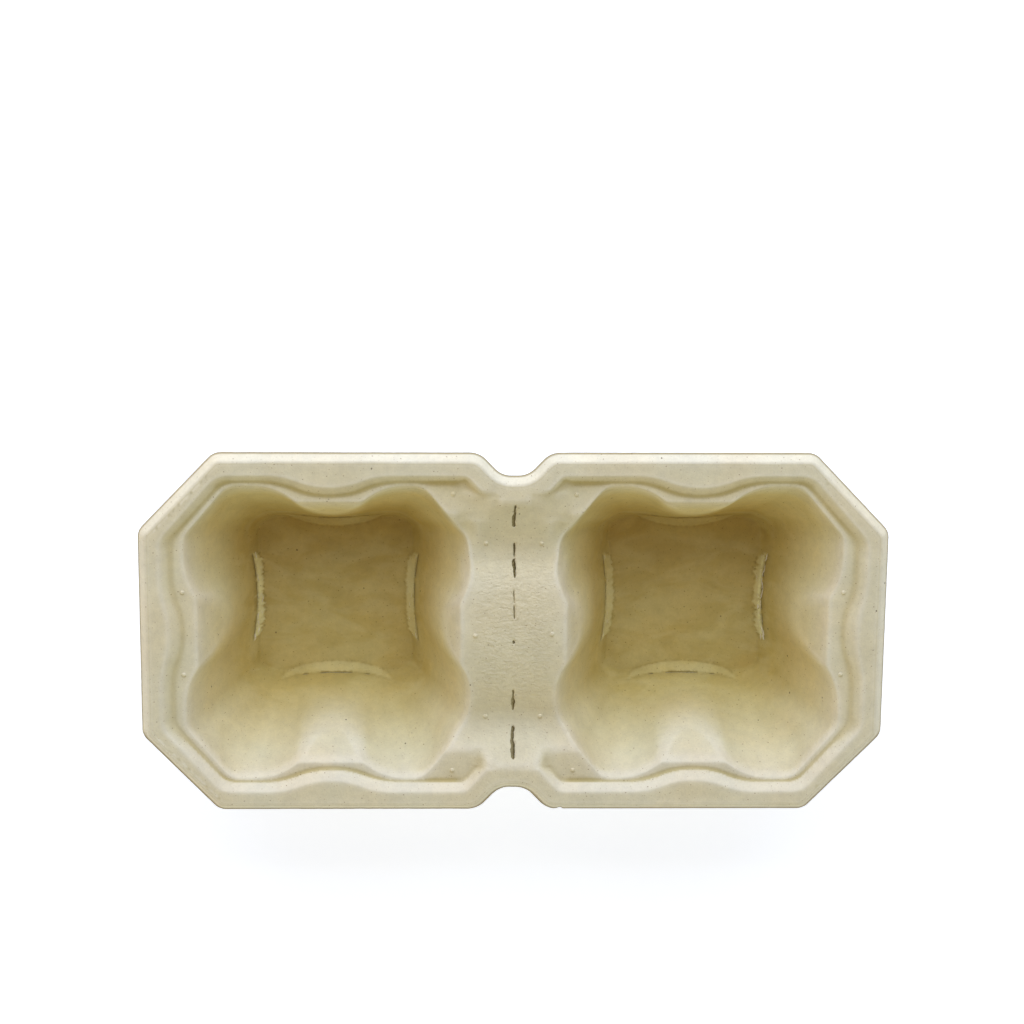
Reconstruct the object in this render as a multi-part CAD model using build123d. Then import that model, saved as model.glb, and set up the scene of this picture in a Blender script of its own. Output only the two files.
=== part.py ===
from build123d import *
import math
import os

# Two-cell cup carrier: one sheet of moulded fibre pulp, open side up.
# Millimetres, +Z up.  Origin at the middle of the footprint, on the plane
# that the undersides of the two pocket floors rest on.  +X runs along the
# length, through both pockets.  The carrier is symmetric in X, and in Y but for
# the section of its bridge and the cuts of its tear line.

# ---------------------------------------------------------------- dimensions
SHEET = 0.9             # thickness of the pulp sheet
LENGTH = 210.0          # over the lip, along X
WIDTH = 105.0           # over the lip, along Y
Z_LIP = 39.9            # bottom of the skirt's cut edge
LIP_H = 0.6             # upright part of the cut edge
Z_BAND = 43.3           # flat band round the rim, the highest level
Z_SHELF = 40.7          # narrow shelf round each pocket
SKIRT_IN = 2.0          # how far the skirt leans in between lip and band
BAND_R = 1.2            # round between skirt and band

CHAMFER_X = 83.6        # long edges end here, at the corner chamfers
CHAMFER_Y = 30.0        # short edges end here
CORNER_R = 4.6          # rounds at the ends of each chamfer
NOTCH_TOP = 9.9         # half width of the waist notch at the long edge
NOTCH_BOT = 3.7         # half width at its bottom
NOTCH_D = 6.6           # depth of the notch
NOTCH_R = 6.4           # rounds of the notch

CELL_X = 51.6           # middle of a pocket at its mouth
FLOOR_X = 51.1          # middle of a pocket at its floor
FACET_SLOPE = 0.49      # run over rise of the flat cut on each wall bulge
FACET_HALF = 13.0       # half length of the flat cut
EDGE_OUT = 37.2         # straight mouth edge at the outer bulge, from CELL_X
EDGE_IN = 36.0          # the same at the bridge
EDGE_Y = 38.1           # the same at the two long sides
Z_LEDGE = 2.4           # top of the foot ledge at each bulge

# the bridge's section in Y and Z: valley, dome, and the valley on the +Y side
BRIDGE = [(-31.0, 38.48), (-28.5, 37.56), (-26.3, 37.40), (-24.0, 37.68), (-20.0, 38.92),
          (-14.0, 40.48), (-8.0, 41.40), (0.0, 41.80), (8.0, 41.36), (13.5, 40.44),
          (18.0, 38.90), (20.5, 37.88), (23.2, 37.42), (26.0, 37.74), (29.0, 38.75)]
RISE_NEAR = 0.61        # slope up to the band beyond the first of them
RISE_FAR = 0.466        # and beyond the last
BRIDGE_X = 30.0         # reach of the bridge surface into each pocket

TEAR_W = 0.8            # width of the tear line's cuts
TEAR_CUTS = [(37.9, 31.0), (25.7, 21.6), (21.0, 16.2), (12.6, 9.2), (8.3, 4.6),
             (-1.7, -2.6), (-17.0, -23.6), (-28.6, -36.9)]
SLIT_W = 0.5            # width of the foot slits
SLIT_R = 71.8           # radius that the slits bow to, towards the pocket's middle
SLITS_X = [(-13.6, -5.2), (-4.0, 4.4), (5.6, 13.6)]     # cut lengths along the two X bulges
SLITS_Y = [(-10.0, -8.2), (-4.8, 4.8), (8.2, 10.0)]     # and along the two Y bulges
SLIT_AT_X = 23.0        # slit's middle from FLOOR_X, along X
SLIT_AT_Y = 23.7        # slit's middle from the pocket's middle, along Y


# ------------------------------------------------------------------ outlines
def unit(p, q):
    d = math.hypot(q[0] - p[0], q[1] - p[1])
    return ((q[0] - p[0]) / d, (q[1] - p[1]) / d)


def rounded(points, radii, z):
    """Closed wire at height z through the points, each corner rounded."""
    n = len(points)
    cuts = []
    for i in range(n):
        p, c, q = points[i - 1], points[i], points[(i + 1) % n]
        u, v = unit(c, p), unit(c, q)
        half = math.acos(max(-1, min(1, u[0] * v[0] + u[1] * v[1]))) / 2
        r = radii[i]
        t = r / math.tan(half)
        bis = (u[0] + v[0], u[1] + v[1])
        bl = math.hypot(*bis)
        k = r / math.sin(half) - r
        mid = (c[0] + bis[0] / bl * k, c[1] + bis[1] / bl * k)
        cuts.append(((c[0] + u[0] * t, c[1] + u[1] * t), mid,
                     (c[0] + v[0] * t, c[1] + v[1] * t)))
    edges = []
    for i in range(n):
        a, m, b = cuts[i]
        nxt = cuts[(i + 1) % n][0]
        edges.append(ThreePointArc((a[0], a[1], z), (m[0], m[1], z), (b[0], b[1], z)))
        edges.append(Line((b[0], b[1], z), (nxt[0], nxt[1], z)))
    return Wire(edges)


def shifted(points, d):
    """The polygon with every side moved in by d (points run clockwise or not)."""
    n = len(points)
    area = sum(points[i][0] * points[(i + 1) % n][1] - points[(i + 1) % n][0] * points[i][1]
               for i in range(n))
    s = 1 if area > 0 else -1
    lines = []
    for i in range(n):
        p, q = points[i], points[(i + 1) % n]
        u = unit(p, q)
        nx, ny = -u[1] * s, u[0] * s
        lines.append(((p[0] + nx * d, p[1] + ny * d), u))
    out = []
    for i in range(n):
        (p, u), (q, v) = lines[i - 1], lines[i]
        den = u[0] * v[1] - u[1] * v[0]
        t = ((q[0] - p[0]) * v[1] - (q[1] - p[1]) * v[0]) / den
        out.append((p[0] + u[0] * t, p[1] + u[1] * t))
    return out


def outline(inset, z):
    """The rim's outline, moved in by inset: chamfered corners and two notches."""
    hl, hw = LENGTH / 2, WIDTH / 2
    q = [(NOTCH_BOT, hw - NOTCH_D), (NOTCH_TOP, hw), (CHAMFER_X, hw), (hl, CHAMFER_Y)]
    kinds = [-1, 1, 1, 1]
    base = [NOTCH_R, NOTCH_R, CORNER_R, CORNER_R]
    pts, sgn, rad = [], [], []
    for sx, sy, rev in ((1, 1, 0), (1, -1, 1), (-1, -1, 0), (-1, 1, 1)):
        idx = range(3, -1, -1) if rev else range(4)
        for i in idx:
            pts.append((q[i][0] * sx, q[i][1] * sy))
            sgn.append(kinds[i])
            rad.append(base[i])
    pts = shifted(pts, inset) if inset else pts
    rad = [r - s * inset for r, s in zip(rad, sgn)]
    return rounded(pts, rad, z)


def prism_between(*wires):
    """Solid between closed wires of like make, with straight rulings."""
    return Solid.make_loft(list(wires), ruled=True)


# ------------------------------------------------------------- pocket section
# One quarter of a pocket's section runs from the crest of one wall bulge,
# through an S-shaped flank, round a chamfered lobe, to the next crest.
#   m: crest distance, h: lobe distance, b: where the flank meets the lobe,
#   a: where the lobe's corner begins, r: radius of the lobe's two corners.
class Side:
    def __init__(self, m, h, b, a):
        self.m, self.h, self.b, self.a = m, h, b, a


FLOOR = dict(cx=FLOOR_X, r=3.6,
             out=Side(20.3, 22.5, 17.0, 19.3), inn=Side(20.3, 22.5, 17.0, 19.3),
             yo=Side(20.8, 23.7, 15.0, 16.8), yi=Side(20.8, 23.7, 15.0, 16.8))
LEDGE = dict(cx=FLOOR_X, r=3.7,
             out=Side(22.7, 23.2, 17.2, 19.6), inn=Side(22.7, 23.2, 17.2, 19.6),
             yo=Side(23.6, 24.4, 15.2, 17.2), yi=Side(23.6, 24.4, 15.2, 17.2))
MOUTH = dict(cx=CELL_X, r=4.4,
             out=Side(34.7, 40.8, 22.5, 26.0), inn=Side(34.3, 40.2, 21.6, 23.4),
             yo=Side(35.6, 42.9, 21.8, 25.8), yi=Side(35.6, 42.9, 21.2, 23.3))


def mix_side(p, q, t):
    return Side(*[getattr(p, k) + (getattr(q, k) - getattr(p, k)) * t for k in ("m", "h", "b", "a")])


def mix(p, q, t):
    d = {k: mix_side(p[k], q[k], t) for k in ("out", "inn", "yo", "yi")}
    d["cx"] = p["cx"] + (q["cx"] - p["cx"]) * t
    d["r"] = p["r"] + (q["r"] - p["r"]) * t
    return d


def grown(p, d):
    g = {k: Side(p[k].m + d, p[k].h + d, p[k].b, p[k].a) for k in ("out", "inn", "yo", "yi")}
    g["cx"], g["r"] = p["cx"], p["r"] + d
    return g


def flank(side):
    """Arc centres' radius and the inflection of the S between crest and lobe."""
    depth = side.h - side.m
    rad = (side.b ** 2 + depth ** 2) / (4 * depth)
    ang = 2 * math.atan(depth / side.b)
    return rad, ang


def quarter(xs, ys, r, sx, sy, cx):
    """Edges from the crest on the X side to the crest on the Y side."""
    rx, ax = flank(xs)
    ry, ay = flank(ys)

    def at(x, y):
        return (cx + sx * x, sy * y)

    pts = []
    # bulge arc on the X side: crest at (m, 0), centre outside the pocket
    pts.append(("arc", (xs.m, 0), (xs.m + rx * (1 - math.cos(ax / 2)), rx * math.sin(ax / 2)),
                (xs.m + rx * (1 - math.cos(ax)), rx * math.sin(ax))))
    # lobe arc, up to its farthest reach at (h, b)
    pts.append(("arc", pts[-1][3],
                (xs.h - rx * (1 - math.cos(ax / 2)), xs.b - rx * math.sin(ax / 2)), (xs.h, xs.b)))
    phi = math.atan2(ys.h - r - xs.a, xs.h - r - ys.a)
    p2 = (xs.h, xs.a)
    c2 = (xs.h - r, xs.a)
    e2 = (c2[0] + r * math.sin(phi), c2[1] + r * math.cos(phi))
    g2 = (math.pi / 2 - phi) / 2
    m2 = (c2[0] + r * math.cos(g2), c2[1] + r * math.sin(g2))
    c1 = (ys.a, ys.h - r)
    e1 = (c1[0] + r * math.sin(phi), c1[1] + r * math.cos(phi))
    m1 = (c1[0] + r * math.sin(phi / 2), c1[1] + r * math.cos(phi / 2))
    p1 = (ys.a, ys.h)
    pts.append(("line", (xs.h, xs.b), p2))
    pts.append(("arc", p2, m2, e2))
    pts.append(("line", e2, e1))
    pts.append(("arc", e1, m1, p1))
    pts.append(("line", p1, (ys.b, ys.h)))
    pts.append(("arc", (ys.b, ys.h),
                (ys.b - ry * math.sin(ay / 2), ys.h - ry * (1 - math.cos(ay / 2))),
                (ry * math.sin(ay), ys.m + ry * (1 - math.cos(ay)))))
    pts.append(("arc", pts[-1][3], (ry * math.sin(ay / 2), ys.m + ry * (1 - math.cos(ay / 2))),
                (0, ys.m)))
    out = []
    for e in pts:
        out.append((e[0],) + tuple(at(*p) for p in e[1:]))
    return out


def reverse(items):
    return [(e[0],) + tuple(e[:0:-1]) for e in items[::-1]]


def section(sec, z, side):
    """Closed wire of a pocket section at height z; side is +1 or -1 in X."""
    cx = sec["cx"] * side
    o, i, yo, yi, r = sec["out"], sec["inn"], sec["yo"], sec["yi"], sec["r"]
    items = []
    items += quarter(o, yo, r, side, 1, cx)
    items += reverse(quarter(i, yi, r, -side, 1, cx))
    items += quarter(i, yi, r, -side, -1, cx)
    items += reverse(quarter(o, yo, r, side, -1, cx))
    edges = []
    for e in items:
        p = [(q[0], q[1], z) for q in e[1:]]
        edges.append(Line(*p) if e[0] == "line" else ThreePointArc(*p))
    return Wire(edges)


Z_MOUTH_TOP = Z_SHELF + 1.6      # a pocket's walls are carried on this far past its mouth


def trapezoid(half_top, half_bot, z_top, z_bot, lo, hi, along):
    """Prism with a trapezoid section; half_top and half_bot are (minus, plus)."""
    sec = [(-half_top[0], z_top), (half_top[1], z_top), (half_bot[1], z_bot), (-half_bot[0], z_bot)]
    if along == "x":      # section in YZ, prism along X
        pts = [(lo, y, z) for y, z in sec]
        vec = Vector(hi - lo, 0, 0)
    else:                 # section in XZ, prism along Y
        pts = [(x, lo, z) for x, z in sec]
        vec = Vector(0, hi - lo, 0)
    wire = Wire([Line(pts[k], pts[(k + 1) % 4]) for k in range(4)])
    return Solid.extrude(Face(wire), vec)


def pocket(side, grow):
    """Inside of a pocket (grow 0), or the same body with the sheet round it."""
    t = (Z_MOUTH_TOP - Z_LEDGE) / (Z_SHELF - Z_LEDGE)
    if grow:
        w = [section(grown(FLOOR, 0.4), 0.0, side),
             section(grown(LEDGE, 0.8), Z_LEDGE - 0.7, side),
             section(grown(mix(LEDGE, MOUTH, t), 0.97), Z_MOUTH_TOP, side)]
    else:
        w = [section(FLOOR, SHEET, side), section(LEDGE, Z_LEDGE, side),
             section(mix(LEDGE, MOUTH, t), Z_MOUTH_TOP, side)]
    body = prism_between(*w)
    # the four bulges are cut flat towards the mouth
    g = 1.0 if grow else 0.0
    f = FACET_HALF + g
    z_bot = 20.0
    up = (Z_MOUTH_TOP - Z_SHELF) * FACET_SLOPE
    dn = (Z_SHELF - z_bot) * FACET_SLOPE
    cx = CELL_X * side
    long_y = trapezoid((EDGE_Y + up + g,) * 2, (EDGE_Y - dn + g,) * 2,
                       Z_MOUTH_TOP, z_bot, cx - f, cx + f, "x")
    out, inn = EDGE_OUT + g, EDGE_IN + g
    lo, hi = (inn, out) if side > 0 else (out, inn)
    long_x = trapezoid((lo + up, hi + up), (lo - dn, hi - dn), Z_MOUTH_TOP, z_bot, -f, f, "y")
    long_x = long_x.moved(Location((cx, 0, 0)))
    return body + long_y + long_x


# ------------------------------------------------- recess round each pocket
# Wavy slope from the band's inner edge down to the shelf.  It follows the
# pocket on three sides, and on the bridge side it ends round two small pads.
def recess_wire(level, d, z, side):
    """level 0: the slope's foot, 1: the band's inner edge; d: grown outwards."""
    if level:
        o, y, r = Side(45.3 + d, 47.5 + d, 17.0, 25.1), Side(43.0 + d, 46.4 + d, 17.5, 28.0), 7.0 + d
        pad = [(38.4, 46.4), (44.9, 38.9)]
    else:
        o, y, r = Side(41.4 + d, 44.4 + d, 17.0, 24.8), Side(40.0 + d, 43.9 + d, 19.5, 26.8), 6.0 + d
        pad = [(37.9, 43.9), (42.6, 38.4)]
    cx = CELL_X * side

    def far(sy):
        q = quarter(o, y, r, side, sy, cx)
        # flank from the middle of the long side out to the straight part
        ry, ay = flank(y)
        s = [("arc", (0, y.m), (ry * math.sin(ay / 2), y.m + ry * (1 - math.cos(ay / 2))),
              (ry * math.sin(ay), y.m + ry * (1 - math.cos(ay)))),
             ("arc", (ry * math.sin(ay), y.m + ry * (1 - math.cos(ay))),
              (y.b - ry * math.sin(ay / 2), y.h - ry * (1 - math.cos(ay / 2))), (y.b, y.h))]
        # pad corner, then down towards the bridge and back into the pocket
        pts = [(y.b, y.h), (pad[0][0], y.h), (pad[1][0] + d, pad[1][1]), (pad[1][0] + d, 30.0),
               (CELL_X - BRIDGE_X, 30.0)]
        e = []
        cur = pts[0]
        for k in (1, 2):
            p, c, n = pts[k - 1], pts[k], pts[k + 1]
            u, v = unit(c, p), unit(c, n)
            half = math.acos(u[0] * v[0] + u[1] * v[1]) / 2
            rad = 3.0 + d
            tt = rad / math.tan(half)
            bis = (u[0] + v[0], u[1] + v[1])
            bl = math.hypot(*bis)
            kk = rad / math.sin(half) - rad
            a = (c[0] + u[0] * tt, c[1] + u[1] * tt)
            m = (c[0] + bis[0] / bl * kk, c[1] + bis[1] / bl * kk)
            b = (c[0] + v[0] * tt, c[1] + v[1] * tt)
            e.append(("line", cur, a))
            e.append(("arc", a, m, b))
            cur = b
        e.append(("line", cur, pts[3]))
        e.append(("line", pts[3], pts[4]))
        s = [(i[0],) + tuple((cx - side * p[0], sy * p[1]) for p in i[1:]) for i in s + e]
        return q + s

    top = far(1)
    bot = far(-1)
    end_t, end_b = top[-1][2], bot[-1][2]
    items = top + [("line", end_t, end_b)] + reverse(bot)
    edges = []
    for e in items:
        p = [(q[0], q[1], z) for q in e[1:]]
        edges.append(Line(*p) if e[0] == "line" else ThreePointArc(*p))
    return Wire(edges)


def recess(side, grow):
    if grow:
        return prism_between(recess_wire(0, 0.36, Z_SHELF - SHEET, side),
                             recess_wire(1, 1.3, Z_BAND - 0.3, side))
    return prism_between(recess_wire(0, 0.0, Z_SHELF, side),
                         recess_wire(1, 0.0, Z_BAND, side),
                         recess_wire(1, 0.0, Z_BAND + 4, side))


# ----------------------------------------------------------------- the bridge
# Section in YZ: a dome over the middle, a rounded valley each side of it, and
# a slope up to the band.
def bridge(drop, top):
    z3 = top + drop if drop else Z_BAND + 0.6
    (ya, za), (yb, zb) = BRIDGE[0], BRIDGE[-1]
    y_near = ya - (z3 - za) / RISE_NEAR
    y_far = yb + (z3 - zb) / RISE_FAR

    def p(y, z):
        return (-BRIDGE_X, y, z - drop)

    curve = Spline([p(*q) for q in BRIDGE],
                   tangents=(Vector(0, 1, -RISE_NEAR).normalized(), Vector(0, 1, RISE_FAR).normalized()))
    edges = [curve, Line(p(yb, zb), p(y_far, z3)), Line(p(ya, za), p(y_near, z3))]
    if drop:
        edges.append(Line(p(y_far, z3), p(y_near, z3)))
    else:
        edges += [Line(p(y_far, z3), (-BRIDGE_X, y_far, top)),
                  Line((-BRIDGE_X, y_far, top), (-BRIDGE_X, y_near, top)),
                  Line((-BRIDGE_X, y_near, top), p(y_near, z3))]
    face = Face(Wire(edges))
    return Solid.extrude(face, Vector(2 * BRIDGE_X, 0, 0))


# ------------------------------------------------------------------- the slits
def foot_slit(px, py, ang, lengths):
    """Bowed row of slits, its middle at (px, py), bowing along ang."""
    c, s = math.cos(ang), math.sin(ang)
    blanks = []
    for s0, s1 in lengths:
        a0, a1 = s0 / SLIT_R, s1 / SLIT_R

        def at(r, a):
            # the centre of curvature lies outside the pocket
            x, y = SLIT_R - r * math.cos(a), r * math.sin(a)
            return (px + x * c - y * s, py + x * s + y * c, -1.0)

        ri, ro, am = SLIT_R - SLIT_W / 2, SLIT_R + SLIT_W / 2, (a0 + a1) / 2
        w = Wire([ThreePointArc(at(ri, a0), at(ri, am), at(ri, a1)), Line(at(ri, a1), at(ro, a1)),
                  ThreePointArc(at(ro, a1), at(ro, am), at(ro, a0)), Line(at(ro, a0), at(ri, a0))])
        blanks.append(Solid.extrude(Face(w), Vector(0, 0, 5.2)))
    return blanks


# ------------------------------------------------------------------ the sheet
cap = prism_between(outline(0, Z_LIP), outline(0, Z_LIP + LIP_H), outline(SKIRT_IN, Z_BAND))
rim_edges = [e for e in cap.edges() if abs(e.center().Z - Z_BAND) < 1e-4]
try:
    cap = cap.fillet(BAND_R, rim_edges)
except Exception as err:
    print("rim round left out:", err)

skirt_wall = SHEET / math.sin(math.atan2(Z_BAND - Z_LIP - LIP_H, SKIRT_IN))
lean = SKIRT_IN / (Z_BAND - Z_LIP - LIP_H)
under = prism_between(outline(0.75, Z_LIP - 1.0), outline(0.75, Z_LIP),
                      outline(skirt_wall + lean * (Z_BAND - SHEET - Z_LIP - LIP_H), Z_BAND - SHEET))

body = cap - under
for s in (1, -1):
    body = body + recess(s, 1)
body = body + bridge(0.97, Z_BAND - 0.3)
for s in (1, -1):
    body = body + pocket(s, 1)
body = body - bridge(0, Z_BAND + 4)
for s in (1, -1):
    body = body - recess(s, 0)
    body = body - pocket(s, 0)

for y0, y1 in TEAR_CUTS:
    cut = Solid.make_box(TEAR_W, abs(y1 - y0), 12.0).moved(
        Location((-TEAR_W / 2, min(y0, y1), 33.0)))
    body = body - cut

for s in (1, -1):
    cx = FLOOR_X * s
    for px, py, ang, lengths in ((cx + SLIT_AT_X, 0, 0, SLITS_X), (cx - SLIT_AT_X, 0, math.pi, SLITS_X),
                                 (cx, SLIT_AT_Y, math.pi / 2, SLITS_Y),
                                 (cx, -SLIT_AT_Y, -math.pi / 2, SLITS_Y)):
        for blank in foot_slit(px, py, ang, lengths):
            body = body - blank

solids = body.solids()
solids.sort(key=lambda q: -q.volume)
carrier = solids[0]
print("solids", len(solids), [round(q.volume, 3) for q in solids[:5]],
      "valid", carrier.is_valid, "size", carrier.bounding_box().size)

os.makedirs("parts", exist_ok=True)
export_step(carrier, "parts/carrier.step")
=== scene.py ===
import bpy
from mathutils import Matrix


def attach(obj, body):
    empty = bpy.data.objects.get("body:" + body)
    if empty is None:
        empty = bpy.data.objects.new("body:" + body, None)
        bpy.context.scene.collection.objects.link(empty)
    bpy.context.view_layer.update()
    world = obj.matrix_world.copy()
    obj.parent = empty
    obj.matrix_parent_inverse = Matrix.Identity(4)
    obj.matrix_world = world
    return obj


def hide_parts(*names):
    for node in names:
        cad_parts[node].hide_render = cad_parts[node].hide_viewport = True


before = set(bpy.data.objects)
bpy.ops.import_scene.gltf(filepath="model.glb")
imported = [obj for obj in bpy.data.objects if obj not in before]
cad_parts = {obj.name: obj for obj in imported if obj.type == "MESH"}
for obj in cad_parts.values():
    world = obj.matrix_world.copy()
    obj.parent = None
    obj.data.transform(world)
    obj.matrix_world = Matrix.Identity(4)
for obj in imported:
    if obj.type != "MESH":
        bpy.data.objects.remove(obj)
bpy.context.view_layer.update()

import math

import bpy
import numpy as np
from mathutils import Matrix, Vector
from mathutils.geometry import delaunay_2d_cdt

# Everything below is in millimetres until the mesh is made, in the CAD frame.
SHEET = 0.9
LEN, WID = 210.0, 105.0
Z_LIP, LIP_H, Z_BAND, Z_SHELF = 39.9, 0.6, 43.3, 40.7
SKIRT_IN, BAND_R = 2.0, 1.2
CELL_X, FLOOR_X = 51.6, 51.1
Z_FLOOR, Z_LEDGE = SHEET, 2.4
FACET_SLOPE, EDGE_OUT, EDGE_IN, EDGE_Y = 0.49, 37.2, 36.0, 38.1
DOME_TOP, VALLEY_Z, VALLEY_Y, BRIDGE_Y = 41.9, 36.9, 25.8, 38.9
RNG = np.random.default_rng(20417)


# ---------------------------------------------------------------- plane curves
def trace(pts, rad, step):
    """A closed polygon with rounded corners, as points and inward unit normals."""
    pts = np.array(pts, float)
    n = len(pts)
    nxt = np.roll(pts, -1, 0)
    s = np.sign(np.sum(pts[:, 0] * nxt[:, 1] - nxt[:, 0] * pts[:, 1]))
    cuts = []
    for i in range(n):
        p, c, q = pts[i - 1], pts[i], pts[(i + 1) % n]
        u, v = (p - c) / np.linalg.norm(p - c), (q - c) / np.linalg.norm(q - c)
        half = math.acos(max(-1, min(1, float(u @ v)))) / 2
        t = rad[i] / math.tan(half)
        bis = (u + v) / np.linalg.norm(u + v)
        cen = c + bis * rad[i] / math.sin(half)
        turn = ((c - p)[0] * (q - c)[1] - (c - p)[1] * (q - c)[0]) * s
        cuts.append((c + u * t, c + v * t, cen, rad[i], turn > 0))
    P, N = [], []
    for i in range(n):
        a, b, cen, r, convex = cuts[i]
        a0, a1 = math.atan2(*(a - cen)[::-1]), math.atan2(*(b - cen)[::-1])
        d = (a1 - a0 + math.pi) % (2 * math.pi) - math.pi
        k = max(2, math.ceil(abs(d) * r / min(step, r * 0.17)))
        for j in range(k):
            w = np.array([math.cos(a0 + d * j / k), math.sin(a0 + d * j / k)])
            P.append(cen + w * r)
            N.append(-w if convex else w)
        e = cuts[(i + 1) % n][0]
        length = np.linalg.norm(e - b)
        k = max(1, round(length / step))
        dirn = (e - b) / max(length, 1e-9)
        nor = np.array([-dirn[1], dirn[0]]) * s
        for j in range(k):
            P.append(b + (e - b) * j / k)
            N.append(nor)
    return np.array(P), np.array(N)


def outline(step):
    hl, hw = LEN / 2, WID / 2
    q = [(3.7, hw - 6.6), (9.9, hw), (83.6, hw), (hl, 30.0)]
    r = [6.4, 6.4, 4.6, 4.6]
    pts, rad = [], []
    for sx, sy, rev in ((1, 1, 0), (1, -1, 1), (-1, -1, 0), (-1, 1, 1)):
        for i in range(3, -1, -1) if rev else range(4):
            pts.append((q[i][0] * sx, q[i][1] * sy))
            rad.append(r[i])
    return trace(pts, rad, step)


def inside(px, py, poly):
    """Even-odd test of points against a closed polygon."""
    res = np.zeros(len(px), bool)
    a, b = poly, np.roll(poly, -1, 0)
    for lo in range(0, len(px), 6000):
        x, y = px[lo:lo + 6000, None], py[lo:lo + 6000, None]
        cross = ((a[:, 1] > y) != (b[:, 1] > y))
        den = np.where(np.abs(b[:, 1] - a[:, 1]) < 1e-12, 1e-12, b[:, 1] - a[:, 1])
        xi = a[:, 0] + (y - a[:, 1]) / den * (b[:, 0] - a[:, 0])
        res[lo:lo + 6000] = (np.sum(cross & (x < xi), 1) % 2).astype(bool)
    return res


def distance(px, py, poly, closed=True):
    a = poly if closed else poly[:-1]
    b = np.roll(poly, -1, 0) if closed else poly[1:]
    d = b - a
    l2 = np.maximum(np.sum(d * d, 1), 1e-12)
    out = np.empty(len(px))
    for lo in range(0, len(px), 4000):
        x, y = px[lo:lo + 4000, None] - a[:, 0], py[lo:lo + 4000, None] - a[:, 1]
        t = np.clip((x * d[:, 0] + y * d[:, 1]) / l2, 0, 1)
        out[lo:lo + 4000] = np.sqrt(np.min((x - t * d[:, 0]) ** 2 + (y - t * d[:, 1]) ** 2, 1))
    return out


def signed(px, py, poly):
    """Distance to a closed polygon, positive inside."""
    return np.where(inside(px, py, poly), 1, -1) * distance(px, py, poly)


# ------------------------------------------------ a pocket's section, as a wire
def flank(m, h, b):
    depth = h - m
    return (b * b + depth * depth) / (4 * depth), 2 * math.atan(depth / b)


def arc_pts(p, q, centre, k=9):
    a0 = math.atan2(p[1] - centre[1], p[0] - centre[0])
    a1 = math.atan2(q[1] - centre[1], q[0] - centre[0])
    d = (a1 - a0 + math.pi) % (2 * math.pi) - math.pi
    r = math.hypot(p[0] - centre[0], p[1] - centre[1])
    return [(centre[0] + r * math.cos(a0 + d * i / k), centre[1] + r * math.sin(a0 + d * i / k))
            for i in range(k)]


def quarter(xs, ys, r):
    """Points of one quarter, from the crest on the x side to the crest on the y side.
    xs and ys are (crest, lobe, flank end, corner start)."""
    (mx, hx, bx, ax), (my, hy, by, ay) = xs, ys
    rx, gx = flank(mx, hx, bx)
    ry, gy = flank(my, hy, by)
    k1 = (mx + rx * (1 - math.cos(gx)), rx * math.sin(gx))
    k2 = (ry * math.sin(gy), my + ry * (1 - math.cos(gy)))
    phi = math.atan2(hy - r - ax, hx - r - ay)
    c2, c1 = (hx - r, ax), (ay, hy - r)
    e2 = (c2[0] + r * math.sin(phi), c2[1] + r * math.cos(phi))
    e1 = (c1[0] + r * math.sin(phi), c1[1] + r * math.cos(phi))
    pts = arc_pts((mx, 0), k1, (mx + rx, 0))
    pts += arc_pts(k1, (hx, bx), (hx - rx, bx))
    pts += [(hx, bx)]
    pts += arc_pts((hx, ax), e2, c2)
    pts += [(e2[0] + (e1[0] - e2[0]) * i / 8, e2[1] + (e1[1] - e2[1]) * i / 8) for i in range(8)]
    pts += arc_pts(e1, (ay, hy), c1)
    pts += [(ay, hy)]
    pts += arc_pts((by, hy), k2, (by, hy - ry))
    pts += arc_pts(k2, (0, my), (0, my + ry))
    pts += [(0, my)]
    return np.array(pts)


FLOOR = dict(cx=FLOOR_X, r=3.6, o=(20.3, 22.5, 17.0, 19.3), i=(20.3, 22.5, 17.0, 19.3),
             yo=(20.8, 23.7, 15.0, 16.8), yi=(20.8, 23.7, 15.0, 16.8))
LEDGE = dict(cx=FLOOR_X, r=3.7, o=(22.7, 23.2, 17.2, 19.6), i=(22.7, 23.2, 17.2, 19.6),
             yo=(23.6, 24.4, 15.2, 17.2), yi=(23.6, 24.4, 15.2, 17.2))
MOUTH = dict(cx=CELL_X, r=4.4, o=(34.7, 40.8, 22.5, 26.0), i=(34.3, 40.2, 21.6, 23.4),
             yo=(35.6, 42.9, 21.8, 25.8), yi=(35.6, 42.9, 21.2, 23.3))


def mix(p, q, t):
    d = {k: tuple(a + (b - a) * t for a, b in zip(p[k], q[k])) for k in ("o", "i", "yo", "yi")}
    d["cx"], d["r"] = p["cx"] + (q["cx"] - p["cx"]) * t, p["r"] + (q["r"] - p["r"]) * t
    return d


def half_section(s):
    """Upper half of a section for the cell at +X, in the carrier's x and y."""
    o = quarter(s["o"], s["yo"], s["r"])
    i = quarter(s["i"], s["yi"], s["r"])
    i = np.c_[-i[:, 0], i[:, 1]][::-1]
    pts = np.vstack([o, i])
    pts[:, 0] += s["cx"]
    return pts


# -------------------------------------------------------------- smooth min, max
def smin(a, b, k):
    h = np.maximum(k - np.abs(a - b), 0) / k
    return np.minimum(a, b) - h * h * k / 4


def smax(a, b, k):
    return -smin(-a, -b, k)


def blur(g, sigma_mm, h):
    """Separable Gaussian with mirrored edges."""
    s = sigma_mm / h
    n = max(1, int(math.ceil(3 * s)))
    k = np.exp(-0.5 * (np.arange(-n, n + 1) / s) ** 2)
    k /= k.sum()
    for axis in (0, 1):
        pad = [(0, 0), (0, 0)]
        pad[axis] = (n, n)
        p = np.pad(g, pad, mode="reflect")
        out = np.zeros_like(g)
        for j, w in enumerate(k):
            sl = [slice(None), slice(None)]
            sl[axis] = slice(j, j + g.shape[axis])
            out += w * p[tuple(sl)]
        g = out
    return g


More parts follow.
